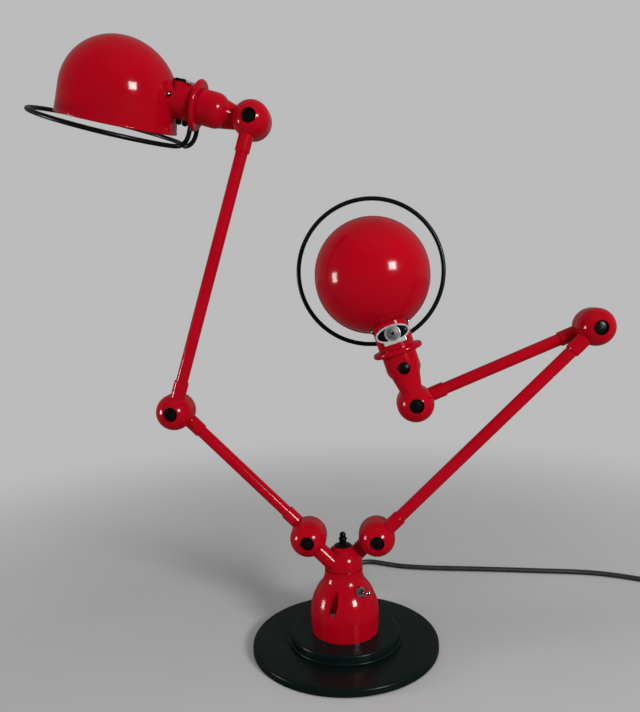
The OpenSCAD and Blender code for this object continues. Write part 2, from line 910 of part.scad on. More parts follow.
module left_head() {
    head_frame(left_3, left_neck_a, left_roll) children();
}

module right_head() {
    head_frame(right_3, right_neck_a, right_roll) children();
}

module left_collar() {
    color(enamel) left_head() collar();
}

module left_housing() {
    color(enamel) left_head() housing();
}

module left_shade() {
    color(enamel) left_head() shade();
}

module left_guard() {
    color(black) left_head() guard();
}

module left_plate() {
    color(steel) left_head() name_plate();
}

module left_socket() {
    color(glaze) left_head() lamp_socket();
}

module left_bulb() {
    color(glaze) left_head() bulb();
}

module right_collar() {
    color(enamel) right_head() collar();
}

module right_housing() {
    color(enamel) right_head() housing();
}

module right_shade() {
    color(enamel) right_head() shade();
}

module right_guard() {
    color(black) right_head() guard();
}

module right_plate() {
    color(steel) right_head() name_plate();
}

module right_socket() {
    color(glaze) right_head() lamp_socket();
}

module right_bulb() {
    color(glaze) right_head() bulb();
}

base_plate();
base_pad();
foot_disc();
pedestal();
pedestal_screws();
swivel_spindle();
finial();
toggle_body();
toggle_nut();
toggle_lever();
cord_gland();
mains_cord();
cord_coil();
mains_plug();
turret_cap();
left_stem();
right_stem();
turret_caps();
turret_pivots();
turret_contacts();
left_lower_tube();
left_base_knuckle();
left_lower_elbow();
left_lower_caps();
left_upper_tube();
left_upper_elbow();
left_head_knuckle();
left_upper_caps();
left_pivots();
left_contacts();
right_lower_tube();
right_base_knuckle();
right_lower_elbow();
right_lower_caps();
right_upper_tube();
right_upper_elbow();
right_head_knuckle();
right_upper_caps();
right_pivots();
right_contacts();
left_neck();
left_neck_cap();
left_button();
right_neck();
right_neck_cap();
right_button();
left_collar();
left_housing();
left_shade();
left_guard();
left_plate();
left_socket();
left_bulb();
right_collar();
right_housing();
right_shade();
right_guard();
right_plate();
right_socket();
right_bulb();
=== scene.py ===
import json
import math
import bpy
import numpy as np
from mathutils import Matrix


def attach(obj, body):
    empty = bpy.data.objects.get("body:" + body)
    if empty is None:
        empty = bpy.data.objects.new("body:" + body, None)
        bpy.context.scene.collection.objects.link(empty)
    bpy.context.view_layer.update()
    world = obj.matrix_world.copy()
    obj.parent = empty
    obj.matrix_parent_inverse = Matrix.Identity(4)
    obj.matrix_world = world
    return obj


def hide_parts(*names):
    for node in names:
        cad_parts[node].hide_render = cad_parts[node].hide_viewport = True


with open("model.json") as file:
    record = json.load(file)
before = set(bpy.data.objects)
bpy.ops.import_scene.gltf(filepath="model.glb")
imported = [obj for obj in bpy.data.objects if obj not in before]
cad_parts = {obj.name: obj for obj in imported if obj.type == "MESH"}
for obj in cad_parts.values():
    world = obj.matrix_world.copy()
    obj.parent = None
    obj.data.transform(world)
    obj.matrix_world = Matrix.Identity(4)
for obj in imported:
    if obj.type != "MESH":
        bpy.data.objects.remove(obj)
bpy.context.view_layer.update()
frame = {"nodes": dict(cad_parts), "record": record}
nodes = frame["nodes"]
mm = 0.001
print("frame loaded:", len(nodes), "nodes")

# camera, fitted to the photograph's 640 x 712 frame
cameraView = {
    "place": (0.03158, -0.67347, 0.36573),
    "azimuth": 4.171,  # degrees to the left of +Y
    "pitch": 5.351,  # degrees down
    "roll": -1.810,
    "focal": 674.8,  # pixels
    "longSide": 712,
    "sensor": 36.0,
}


def makeCamera(c):  # aims by azimuth, pitch and roll; the lens comes from the focal length in pixels
    a, p, r = (math.radians(c[k]) for k in ("azimuth", "pitch", "roll"))
    ahead = np.array([-math.sin(a) * math.cos(p), math.cos(a) * math.cos(p), -math.sin(p)])
    right = np.array([math.cos(a), math.sin(a), 0.0])
    up = np.cross(right, ahead)
    rightRolled = right * math.cos(r) + up * math.sin(r)
    upRolled = up * math.cos(r) - right * math.sin(r)
    data = bpy.data.cameras.new("photoCamera")
    data.sensor_fit = "AUTO"
    data.sensor_width = c["sensor"]
    data.lens = c["focal"] / c["longSide"] * c["sensor"]
    data.clip_start = 0.01
    data.clip_end = 50
    cam = bpy.data.objects.new("photoCamera", data)
    bpy.context.scene.collection.objects.link(cam)
    turn = np.eye(4)
    turn[:3, 0], turn[:3, 1], turn[:3, 2], turn[:3, 3] = rightRolled, upRolled, -ahead, c["place"]
    cam.matrix_world = Matrix(turn.tolist())
    bpy.context.scene.camera = cam


makeCamera(cameraView)


# mesh helpers: every new surface is a grid of points, rows by columns

def gridFaces(rows, cols, wrapRows=False, wrapCols=False):  # quads between neighbouring grid points
    i, j = np.meshgrid(np.arange(rows if wrapRows else rows - 1),
                       np.arange(cols if wrapCols else cols - 1), indexing="ij")
    i, j = i.ravel(), j.ravel()
    i2, j2 = (i + 1) % rows, (j + 1) % cols
    return np.stack([i * cols + j, i2 * cols + j, i2 * cols + j2, i * cols + j2], 1)


def putMesh(name, points, faces, material, body, smooth=True):  # a new piece on one body
    mesh = bpy.data.meshes.new(name)
    mesh.from_pydata(np.asarray(points).reshape(-1, 3).tolist(), [], [list(map(int, f)) for f in faces])
    mesh.validate()
    mesh.polygons.foreach_set("use_smooth", np.full(len(mesh.polygons), smooth))
    mesh.materials.append(material)
    obj = bpy.data.objects.new(name, mesh)
    bpy.context.scene.collection.objects.link(obj)
    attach(obj, body)
    return obj


def unit(v):  # rows scaled to length one
    return v / np.linalg.norm(v, axis=-1, keepdims=True)


def tubeGrid(path, radius, sides, beside):  # a circle of the radius carried along the path, square to it
    tangent = unit(np.gradient(path, axis=0))
    across = unit(beside - (beside * tangent).sum(1, keepdims=True) * tangent)
    over = np.cross(tangent, across)
    turn = np.linspace(0, 2 * np.pi, sides, endpoint=False)[None, :, None]
    return path[:, None] + radius * (np.cos(turn) * across[:, None] + np.sin(turn) * over[:, None])


def tubeFaces(rows, sides):  # walls and a flat cap at each end, all looking outward
    caps = [np.arange(sides)[::-1], (rows - 1) * sides + np.arange(sides)]
    return list(gridFaces(rows, sides, wrapCols=True)[:, ::-1]) + caps


def latheGrid(profile, sides):  # profile of (radius, height) pairs turned about +Z
    p = np.asarray(profile, float)
    turn = np.linspace(0, 2 * np.pi, sides, endpoint=False)
    return np.stack([p[:, :1] * np.cos(turn), p[:, :1] * np.sin(turn), np.repeat(p[:, 1:], sides, 1)], -1)


def turnAboutZ(angle):  # matrix of a turn about +Z, in radians
    c, s = math.cos(angle), math.sin(angle)
    return np.array([[c, -s, 0], [s, c, 0], [0, 0, 1]])


def latheAlong(profile, foot, axis, sides):  # a turned profile stood on the foot along the axis
    z = unit(np.asarray(axis, float))
    x = unit(np.cross([0.0, 1.0, 0.0] if abs(z[1]) < 0.9 else [1.0, 0.0, 0.0], z))
    return latheGrid(profile, sides) @ np.stack([x, np.cross(z, x), z]) + foot


# materials

noiseDetail = {"tone": 4, "dust": 5}


def startMaterial(name):  # an empty finish with its tree and shader
    mat = bpy.data.materials.new(name)
    mat.use_nodes = True
    tree = mat.node_tree
    return mat, tree, tree.nodes["Principled BSDF"]


def addNode(tree, kind, **values):  # a node with its sockets set by name
    node = tree.nodes.new(kind)
    for key, value in values.items():
        if key in node.inputs:
            node.inputs[key].default_value = value
        else:
            setattr(node, key, value)
    return node


def noiseAt(tree, scale, detail=3.0, stretch=None):  # noise on object coordinates, in cells per metre
    place = addNode(tree, "ShaderNodeTexCoord").outputs["Object"]
    if stretch:
        mapping = addNode(tree, "ShaderNodeMapping", Scale=stretch)
        tree.links.new(place, mapping.inputs["Vector"])
        place = mapping.outputs["Vector"]
    noise = addNode(tree, "ShaderNodeTexNoise", Scale=scale, Detail=detail)
    tree.links.new(place, noise.inputs["Vector"])
    return noise.outputs["Fac"]


def ramp(tree, source, low, high, start=0.3, end=0.7):  # two colours or greys across a noise
    node = addNode(tree, "ShaderNodeValToRGB")
    for stop, at, tone in zip(node.color_ramp.elements, (start, end), (low, high)):
        stop.position = at
        stop.color = (*tone, 1) if isinstance(tone, tuple) else (tone, tone, tone, 1)
    tree.links.new(source, node.inputs["Fac"])
    return node.outputs["Color"]


def bumpFrom(tree, shader, layers):  # (height source, strength, distance) layers, one over the other
    normal = None
    for source, strength, distance in layers:
        bump = addNode(tree, "ShaderNodeBump", Strength=strength, Distance=distance)
        tree.links.new(source, bump.inputs["Height"])
        if normal:
            tree.links.new(normal, bump.inputs["Normal"])
        normal = bump.outputs["Normal"]
    tree.links.new(normal, shader.inputs["Normal"])


def finish(look):  # one surface finish from its dictionary
    mat, tree, shader = startMaterial(look["name"])
    tone = noiseAt(tree, look["toneScale"], noiseDetail["tone"], look.get("stretch"))
    tree.links.new(ramp(tree, tone, look["dark"], look["light"]), shader.inputs["Base Color"])
    dust = noiseAt(tree, look["dustScale"], noiseDetail["dust"])
    tree.links.new(ramp(tree, dust, look["smoothest"], look["roughest"]), shader.inputs["Roughness"])
    layers = [(noiseAt(tree, s, d, look.get("stretch")), k, h) for s, d, k, h in look["bumps"]]
    bumpFrom(tree, shader, layers)
    for socket, value in look.get("sockets", {}).items():
        shader.inputs[socket].default_value = value
    return mat


redEnamel = finish({
    "name": "redEnamel", "toneScale": 14,
    "dark": (0.32, 0.0006, 0.0066), "light": (0.37, 0.0009, 0.0086),
    "dustScale": 60, "smoothest": 0.09, "roughest": 0.17,
    "bumps": [(900, 2, 0.035, 0.0002), (160, 2, 0.03, 0.0006)],
    "sockets": {"Specular IOR Level": 0.17, "Coat Weight": 0.07, "Coat Roughness": 0.04},
})
whiteLining = finish({
    "name": "whiteLining", "toneScale": 20,
    "dark": (0.76, 0.75, 0.72), "light": (0.84, 0.83, 0.80),
    "dustScale": 80, "smoothest": 0.28, "roughest": 0.42,
    "bumps": [(700, 2, 0.05, 0.0003)],
})
ironPaint = finish({
    "name": "ironPaint", "toneScale": 30,
    "dark": (0.0025, 0.0055, 0.0055), "light": (0.0045, 0.0085, 0.0080),
    "dustScale": 90, "smoothest": 0.20, "roughest": 0.32,
    "bumps": [(420, 3, 0.05, 0.0004), (60, 2, 0.04, 0.001)],
    "sockets": {"Specular IOR Level": 0.10},
})
feltPad = finish({
    "name": "feltPad", "toneScale": 900,
    "dark": (0.02, 0.02, 0.02), "light": (0.05, 0.05, 0.05),
    "dustScale": 300, "smoothest": 0.85, "roughest": 0.98,
    "bumps": [(1800, 4, 0.6, 0.0005)],
    "sockets": {"Sheen Weight": 0.3},
})
wireBlack = finish({
    "name": "wireBlack", "toneScale": 120,
    "dark": (0.0020, 0.0022, 0.0020), "light": (0.0045, 0.0048, 0.0045),
    "dustScale": 200, "smoothest": 0.22, "roughest": 0.38,
    "bumps": [(900, 3, 0.10, 0.0002)],
    "sockets": {"Specular IOR Level": 0.16},
})
capBlack = finish({
    "name": "capBlack", "toneScale": 90,
    "dark": (0.0015, 0.0015, 0.0015), "light": (0.0040, 0.0040, 0.0040),
    "dustScale": 250, "smoothest": 0.2, "roughest": 0.36,
    "bumps": [(1500, 3, 0.08, 0.0002)],
    "sockets": {"Specular IOR Level": 0.14},
})
cordBlack = finish({
    "name": "cordBlack", "toneScale": 150,
    "dark": (0.010, 0.010, 0.010), "light": (0.020, 0.020, 0.020),
    "dustScale": 260, "smoothest": 0.42, "roughest": 0.6,
    "bumps": [(1200, 3, 0.15, 0.0002)],
})
fibreBrown = finish({
    "name": "fibreBrown", "toneScale": 400,
    "dark": (0.03, 0.014, 0.008), "light": (0.07, 0.035, 0.02),
    "dustScale": 300, "smoothest": 0.6, "roughest": 0.85,
    "bumps": [(900, 4, 0.3, 0.0003)],
})
platedSteel = finish({
    "name": "platedSteel", "toneScale": 200,
    "dark": (0.45, 0.45, 0.46), "light": (0.6, 0.6, 0.61),
    "dustScale": 500, "smoothest": 0.2, "roughest": 0.34,
    "bumps": [(1500, 2, 0.06, 0.0002)],
    "sockets": {"Metallic": 1.0},
})
brightChrome = finish({
    "name": "brightChrome", "toneScale": 90,
    "dark": (0.62, 0.63, 0.64), "light": (0.74, 0.74, 0.75),
    "dustScale": 400, "smoothest": 0.06, "roughest": 0.16,
    "bumps": [(700, 2, 0.03, 0.0002)],
    "sockets": {"Metallic": 1.0},
})
brushedDisc = finish({
    "name": "brushedDisc", "toneScale": 260,
    "dark": (0.30, 0.31, 0.31), "light": (0.48, 0.49, 0.49),
    "dustScale": 500, "smoothest": 0.26, "roughest": 0.42, "stretch": (1.0, 1.0, 9.0),
    "bumps": [(1200, 3, 0.12, 0.0002)],
    "sockets": {"Metallic": 1.0},
})
# pale metal of the badge plate and the tab under it; on the tab the near-white tone is also a painted
# highlight, the glint on the plate's lower edge
badgeMetalAndGlint = finish({
    "name": "badgeMetalAndGlint", "toneScale": 120,
    "dark": (0.80, 0.80, 0.80), "light": (0.90, 0.90, 0.90),
    "dustScale": 400, "smoothest": 0.24, "roughest": 0.36,
    "bumps": [(700, 2, 0.03, 0.0002)],
    "sockets": {"Metallic": 0.7},
})
creamHolder = finish({
    "name": "creamHolder", "toneScale": 90,
    "dark": (0.62, 0.58, 0.50), "light": (0.72, 0.68, 0.60),
    "dustScale": 200, "smoothest": 0.3, "roughest": 0.5,
    "bumps": [(800, 3, 0.1, 0.0003)],
})
opalBulb = finish({
    "name": "opalBulb", "toneScale": 60,
    "dark": (0.80, 0.79, 0.75), "light": (0.86, 0.85, 0.82),
    "dustScale": 300, "smoothest": 0.14, "roughest": 0.24,
    "bumps": [(400, 2, 0.02, 0.0002)],
    "sockets": {"Subsurface Weight": 0.2, "Subsurface Radius": (0.02, 0.02, 0.018)},
})
slotFinish = {
    "base_iron": ironPaint, "base_pad": feltPad, "red_pedestal": redEnamel, "red_casting": redEnamel,
    "red_tube": redEnamel, "black_wire": wireBlack, "black_plastic": capBlack, "cord_sheath": cordBlack,
    "contact_fibre": fibreBrown, "plated_steel": platedSteel, "bright_chrome": brightChrome,
    "badge_plate": badgeMetalAndGlint, "lampholder": creamHolder, "opal_bulb": opalBulb,
}
for part in frame["record"]["subparts"]:
    data = nodes[part["node"]].data
    data.materials.clear()
    data.materials.append(slotFinish[part["material_slot"]])
print("finishes on", len(nodes), "nodes")

# mains cord: the route and coil of the CAD model, in metres
cordLay = {
    "route": [[0, 62, 27], [0, 70, 27], [0, 84, 25.5], [0, 98, 21.5], [0, 112, 15.5], [0, 126, 9.5],
              [0, 142, 5], [0, 157, 3.2], [0, 170, 3.2], [0, 183, 3.2], [3.5, 195.5, 3.2], [12.5, 204, 3.2],
              [24.5, 207.5, 3.2], [36, 205, 3.2], [50, 199, 3.2], [70, 192, 3.2], [104, 187, 3.2],
              [150, 184, 3.2], [200, 180.5, 3.2], [248, 176.5, 3.2], [285, 173.5, 3.2], [315, 168, 3.2],
              [338, 160, 3.2], [358, 151, 3.2], [381, 141, 3.2], [404, 131.5, 3.2], [418, 125.7, 3.2]],
    "radius": 3.0, "sides": 14, "steps": 6,
    "coilStep": 7.2, "coilIn": 23.5, "coilTurns": 2.75, "ringsPerTurn": 48,
    "lead": 8, "tail": 20, "tailSteps": 5,
}


def smoothRoute(points, steps):  # Catmull-Rom curve through the points
    p = np.vstack([2 * points[0] - points[1], points, 2 * points[-1] - points[-2]])
    a, b, c, d = (p[k:len(p) - 3 + k, None] for k in range(4))
    t = (np.arange(steps) / steps)[None, :, None]
    curve = 0.5 * (2 * b + (c - a) * t + (2 * a - 5 * b + 4 * c - d) * t ** 2
                   + (3 * b - a - 3 * c + d) * t ** 3)
    return np.vstack([curve.reshape(-1, 3), points[-1:]])


def coilRoute(c, start, heading):  # spiral in on the floor, up one layer over half a turn, spiral out
    half = 360 * c["coilTurns"]
    back = half + 180
    a = np.linspace(0, back + half, int(round((back + half) / 360 * c["ringsPerTurn"])) + 1)
    outer = c["coilIn"] + c["coilStep"] * c["coilTurns"]
    r = np.where(a < half, outer - c["coilStep"] * a / 360,
                 np.where(a < back, c["coilIn"], c["coilIn"] + c["coilStep"] * (a - back) / 360))
    z = c["coilStep"] * np.clip((a - half) / 180, 0, 1)
    rad = np.radians(a)
    loops = np.stack([r * np.sin(rad), r * np.cos(rad), z], 1)
    tail = loops[-1] + np.linspace(0, c["tail"], c["tailSteps"] + 1)[1:, None] * [1, 0, 0]
    local = np.vstack([loops, tail]) + [c["lead"], -outer, 0]
    turn = turnAboutZ(heading)
    return start + local @ turn.T, start + turn @ np.array([c["lead"], -outer, 0]), turn


def makeCord(c):  # a round tube along the free route and then the coil
    points = np.array(c["route"], float)
    step = points[-1] - points[-2]
    free = smoothRoute(points, c["steps"])
    coil, centre, turn = coilRoute(c, points[-1], math.atan2(step[1], step[0]))
    path = np.vstack([free, coil]) * mm
    grid = tubeGrid(path, c["radius"] * mm, c["sides"], np.array([[0.0, 0.0, 1.0]]))
    cord = putMesh("mainsCord", grid, tubeFaces(len(path), c["sides"]), cordBlack, "base")
    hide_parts("mains_cord", "cord_coil")
    return cord, path, centre * mm, turn


# the band's side is in degrees round the coil; rooms are the gaps between the cord and the band
coilBand = {"width": 7.0, "thick": 0.9, "side": 200.0, "rings": 48, "bend": 0.35, "roomBeside": 0.6,
            "roomAbove": 0.4, "roomBelow": 0.15, "roomInside": 0.02, "overFloor": 0.2}


def makeTie(c, tie, centre, turn):  # flat band, an upright rounded loop round all the coil's turns
    inner = c["coilIn"] - c["radius"] - tie["roomBeside"]
    outer = c["coilIn"] + c["coilStep"] * c["coilTurns"] + c["radius"] + tie["roomBeside"]
    top = c["coilStep"] + 2 * c["radius"] + tie["roomAbove"]
    half = np.array([(outer - inner) / 2, (top + tie["roomBelow"]) / 2])
    t = np.linspace(0, 2 * np.pi, tie["rings"], endpoint=False)
    circle = np.stack([np.cos(t), np.sin(t)], 1)
    corner = np.sign(circle) * np.abs(circle) ** tie["bend"]
    bands = []
    for grow, shift in ((0, -1), (tie["thick"], -1), (tie["thick"], 1), (0, 1)):
        ring = corner * (half + grow)
        x = (inner + outer) / 2 + ring[:, 0]
        lowest = -tie["roomBelow"] if grow else -tie["roomInside"]
        z = np.maximum(ring[:, 1] + half[1], lowest)
        bands.append(np.stack([x, np.full_like(x, shift * tie["width"] / 2), z], 1))
    spin = turn @ turnAboutZ(math.radians(tie["side"]))
    drop = (c["route"][-1][2] - tie["overFloor"]) * mm
    place = (np.stack(bands, 1) @ spin.T) * mm + centre - np.array([0, 0, drop])
    faces = gridFaces(tie["rings"], len(bands), True, True)[:, ::-1]
    return putMesh("coilTie", place, faces, cordBlack, "base")


mainsCord, cordPath, coilCentre, coilTurn = makeCord(cordLay)
coilTie = makeTie(cordLay, coilBand, coilCentre, coilTurn)

# heads: the arms' lengths and angles from base joint to neck pivot, the neck's angle in the swing plane
# and the head's turn about the neck
heads = {
    "left": {"from": (-35, 116), "arms": ((188, 134.8), (300, 72.4)), "angle": 162.2, "roll": 11.8},
    "right": {"from": (35, 116), "arms": ((300, 44.1), (188, 202.4)), "angle": 107.1, "roll": 89.6},
}
shadeForm = {"x": 136, "tilt": 3.0, "dome": 13, "rim": 59.5, "edge": 0.4}  # in the head's own frame
for stance in heads.values():
    reach = sum(length * np.exp(1j * math.radians(turned)) for length, turned in stance["arms"])
    stance["pivot"] = (stance["from"][0] + reach.real, 0, stance["from"][1] + reach.imag)


def headFrame(side):  # neck pivot, and the turn in the swing plane followed by the roll about the neck
    h = heads[side]
    a, r = math.radians(h["angle"]), math.radians(h["roll"])
    link = np.array([[math.cos(a), 0, -math.sin(a)], [0, 1, 0], [math.sin(a), 0, math.cos(a)]])
    roll = np.array([[1, 0, 0], [0, math.cos(r), math.sin(r)], [0, -math.sin(r), math.cos(r)]])
    return np.array(h["pivot"], float), link @ roll


def fromHead(side, points):  # millimetres in the head's own frame to metres in the row frame
    pivot, turn = headFrame(side)
    return (np.asarray(points) @ turn.T + pivot) * mm


def toHead(side, points):  # the way back, from metres to the head's own millimetres
    pivot, turn = headFrame(side)
    return (np.asarray(points) / mm - pivot) @ turn


# guard: an open ring round the shade's mouth, with two legs that stand in the collar
guardWire = {
    "x": {"left": 142, "right": 139.4}, "z": 43, "tilt": 0.5, "radius": 76, "open": 16, "wire": 2.3,
    "legX": 55.8, "legY": 11.5, "legLow": 26, "legTop": 18.5, "lead": 11, "rise": 15,
    "sides": 16, "ringSteps": 160, "legSteps": 20,
}


def tiltedPoint(p, tilt):  # a turn in the swing plane about the shade's middle
    c, s, middle = math.cos(math.radians(tilt)), math.sin(math.radians(tilt)), shadeForm["x"]
    x, y, z = p[..., 0] - middle, p[..., 1], p[..., 2]
    return np.stack([middle + x * c - z * s, y, x * s + z * c], -1)


def guardPath(g, middle):  # open ring whose ends run as Bezier curves down into the collar
    a = np.radians(np.linspace(g["open"], 360 - g["open"], g["ringSteps"]))
    ring = np.stack([middle - g["radius"] * np.cos(a), g["radius"] * np.sin(a), np.full_like(a, g["z"])], 1)
    ring = tiltedPoint(ring, g["tilt"])
    t = np.linspace(0, 1, g["legSteps"] + 1)[1:, None]
    legs = []
    o = math.radians(g["open"])
    for s, start in ((1, ring[0]), (-1, ring[-1])):
        off = np.array([[shadeForm["x"], 0, 0], [shadeForm["x"] - math.sin(o), -s * math.cos(o), 0]])
        off = np.diff(tiltedPoint(off, g["tilt"]), axis=0)[0]
        foot = np.array([g["legX"], s * g["legY"], g["legLow"]])
        b, c = start + g["lead"] * off, foot + [0, 0, g["rise"]]
        curve = (1 - t) ** 3 * start + 3 * (1 - t) ** 2 * t * b + 3 * (1 - t) * t ** 2 * c + t ** 3 * foot
        legs.append(np.vstack([curve, [[g["legX"], s * g["legY"], g["legTop"]]]]))
    return np.vstack([legs[0][::-1], ring, legs[1]])


def makeGuard(side, g):  # a round wire along the guard's path
    path = guardPath(g, g["x"][side])
    beside = path - [g["x"][side], 0, 0]
    beside[:, 2] = 0
    grid = fromHead(side, tubeGrid(path, g["wire"], g["sides"], beside))
    faces = tubeFaces(len(path), g["sides"])
    guard = putMesh(side + "GuardWire", grid, faces, wireBlack, side + "_head")
    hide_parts(side + "_guard")


def putTurned(name, side, form, material):  # a lathe piece on the head: profile, foot, axis, sides
    profile, foot, axis, sides = form
    grid = fromHead(side, latheAlong(profile, np.asarray(foot, float), axis, sides))
    putMesh(name, grid, tubeFaces(len(profile), sides), material, side + "_head")


tip = 0.02  # radius of the small flat that closes a turned piece
# badge: dressing of the oval plate; the field's rows are a further inset and a height above the plate
badge = {
    "x": 74.5, "z": -19.0, "long": 34, "wide": 17, "rim": 1.7, "points": 96, "edgeTurn": 0.6,
    "field": ((0, -0.05), (0.15, 0.25), (4, 0.25), (6.4, 0.25)),
    "disc": 7.4, "hub": 1.5, "foot": 0.4, "sides": 48,
}


def makeBadge(side, b):
    # black field: an ellipse inset from the plate's edge, a hair above it
    t = np.linspace(0, -2 * np.pi, b["points"], endpoint=False)
    rows = []
    for further, lift in b["field"]:
        inset = b["rim"] + further
        rows.append(np.stack([b["x"] + (b["wide"] / 2 - inset) * np.cos(t),
                              (b["long"] / 2 - inset) * np.sin(t), np.full_like(t, b["z"] - lift)], 1))
    putMesh(side + "BadgeField", fromHead(side, np.stack(rows)), tubeFaces(len(rows), len(t)), capBlack,
            side + "_head")
    # domed disc with a rolled edge, and a black hub in its middle that paints the shade of the knob's centre
    # hole
    r, hub = b["disc"], b["hub"]
    disc = [(r, -0.3), (r + 0.1, 0.4), (r - 0.2, 0.62), (r - 0.8, 0.65), (r - 1.2, 0.58),
            (r * 0.7, 0.78), (r * 0.4, 0.95), (hub, 1.02), (tip, 1.03)]
    holeShadeForm = [(hub, 0.9), (hub, 1.15), (hub * 0.6, 1.3), (tip, 1.33)]
    foot, outward = (b["x"], 0, b["z"] - b["foot"]), (0, 0, -1)
    putTurned(side + "BadgeDisc", side, (disc, foot, outward, b["sides"]), brushedDisc)
    putTurned(side + "BadgeHoleShade", side, (holeShadeForm, foot, outward, b["sides"]), capBlack)


# small fittings: places and forms in the head's own frame; the tab's levels are an inset and a drop
fittings = {
    "tab": {"x": 66.6, "z": -19.95, "halfX": 2.2, "halfY": 11.0, "corner": 0.7, "step": 15,
            "levels": ((0, 2.0), (0, 0.25), (0.12, 0.07), (0.3, 0))},
    "screw": {"x": 80.6, "z": -3.5, "tube": 18,
              # the washer is a black disc that also paints the shadow in the gap between dome and housing
              "washerAndShadow": [(2.7, -0.9), (2.7, 0.4), (2.5, 0.55), (1.3, 0.57), (tip, 0.57)],
              "head": [(1.6, 0.4), (1.7, 1.1), (1.45, 1.7), (0.85, 2.05), (tip, 2.15)]},
    "clamp": {"x": (65.5, 72.0), "z": 16.8,
              "form": [(3.0, 0), (3.05, 3.8), (2.5, 5.0), (1.3, 5.6), (tip, 5.7)]},
    "sides": 28,
}


def makeFittings(side, f):
    # tab: a rounded rectangle carried through its levels, the top one drawn in; its pale tone is partly its
    # metal and partly a painted highlight, the glint on the plate's lower edge
    tab = f["tab"]
    t = -np.radians(np.arange(0, 360, tab["step"]) + tab["step"] / 2)
    circle = np.stack([np.cos(t), np.sin(t)], 1)
    middle = np.sign(circle) * [tab["halfX"] - tab["corner"], tab["halfY"] - tab["corner"]]
    rows = []
    for inset, drop in tab["levels"]:
        edge = middle + (tab["corner"] - inset) * circle
        rows.append(np.column_stack([tab["x"] + edge[:, 0], edge[:, 1], np.full(len(t), tab["z"] + drop)]))
    putMesh(side + "BadgeTab", fromHead(side, np.stack(rows)), tubeFaces(len(rows), len(t)), badgeMetalAndGlint,
            side + "_head", smooth=False)
    # screws: heads on dark washers, square to the housing where it meets the dome; the washers' black also
    # paints the shadow in the gap beside each head
    screw = f["screw"]
    for s, label in ((-1, "Near"), (1, "Far")):
        name = side + "Screw" + label
        outward = np.array([0, s * math.sqrt(screw["tube"] ** 2 - screw["z"] ** 2), screw["z"]])
        foot = outward + [screw["x"], 0, 0]
        washerAndShadow, head = ((screw[kind], foot, outward, f["sides"]) for kind in ("washerAndShadow", "head"))
        putTurned(name + "WasherAndShadow", side, washerAndShadow, capBlack)
        putTurned(name + "Head", side, head, brightChrome)
    # clamp heads under the lampholder housing
    clamp = f["clamp"]
    for k, x in enumerate(clamp["x"]):
        form = (clamp["form"], (x, 0, clamp["z"]), (0, 0, 1), f["sides"])
        putTurned(side + "ClampHead" + str(k + 1), side, form, capBlack)


for side in heads:
    makeGuard(side, guardWire)
    makeBadge(side, badge)
    makeFittings(side, fittings)


def paintFaces(node, look, pick):  # a second finish on the faces that pick chooses by place and normal
    data = nodes[node].data
    data.materials.append(look)
    count = len(data.polygons)
    centre, normal = np.empty(count * 3), np.empty(count * 3)
    data.polygons.foreach_get("center", centre)
    data.polygons.foreach_get("normal", normal)
    chosen = pick(centre.reshape(-1, 3), normal.reshape(-1, 3))
    data.polygons.foreach_set("material_index", chosen.astype(np.int32))


def insideShade(side):  # faces that look at the shade's middle, with the shade's tilt taken back
    def pick(centre, normal):
        x, y, z = tiltedPoint(toHead(side, centre), -shadeForm["tilt"]).T
        away = np.stack([x - shadeForm["x"], y, np.minimum(z - shadeForm["dome"], 0)], 1)
        facing = normal @ headFrame(side)[1]
        inside = np.linalg.norm(away, axis=1) < shadeForm["rim"] - shadeForm["edge"]
        return ((away * facing).sum(1) < 0) & inside
    return pick


def plateEdge(side):  # faces of the oval plate that don't look outward from the neck
    return lambda centre, normal: (normal @ headFrame(side)[1])[:, 2] > -badge["edgeTurn"]


def bulbMetal(side):  # faces of the bulb's metal cap
    return lambda centre, normal: toHead(side, centre)[:, 0] < bulbCap


def plugPins(centre, normal):  # faces past the plug's front, along the cord's last direction
    return (centre - cordPath[-1]) @ coilTurn[:, 0] > plugFront


bulbCap = 99.05  # where the bulb's metal cap ends along the neck
plugFront = 60.05 * mm  # from the cord's end to the face that carries the pins
for side in heads:
    paintFaces(side + "_shade", whiteLining, insideShade(side))
    paintFaces(side + "_plate", capBlack, plateEdge(side))
    paintFaces(side + "_bulb", platedSteel, bulbMetal(side))
paintFaces("mains_plug", brightChrome, plugPins)
print("heads dressed")


# stage: pale floor that fades into the pale surroundings, two window-like lamps and a soft top lamp
stageLook = {
    "floor": 12.0, "floorDrop": 0.0003, "floorTone": 0.50, "floorPatch": 9, "patchDepth": 0.97,
    "floorRough": 0.6, "floorShine": 0.05, "floorMirrored": 0.20, "fadeFrom": 0.25, "fadeTo": 1.05,
    "pale": 0.50, "skyAhead": 0.20, "skyBehind": 0.07, "skyTurn": 0.5, "ambient": 0.24,
}
lamps = {
    "windowRight": {"place": (1.30, -1.50, 0.86), "aim": (0.04, -0.04, 0.42),
                    "size": (0.50, 0.47), "power": 36},
    "windowLeft": {"place": (-1.86, -0.39, 0.28), "aim": (0.04, -0.04, 0.36),
                   "size": (0.36, 0.50), "power": 16},
    "softTop": {"place": (0.1, -0.5, 2.1), "aim": (0.0, 0.0, 0.3),
                "size": (1.6, 1.6), "power": 10, "mirrored": False},
}


def rangeNode(tree, source, bounds, smooth=False):  # a value moved from one span to another
    node = addNode(tree, "ShaderNodeMapRange", interpolation_type="SMOOTHSTEP" if smooth else "LINEAR")
    for socket, value in zip(("From Min", "From Max", "To Min", "To Max"), bounds):
        node.inputs[socket].default_value = value
    tree.links.new(source, node.inputs["Value"])
    return node.outputs["Result"]


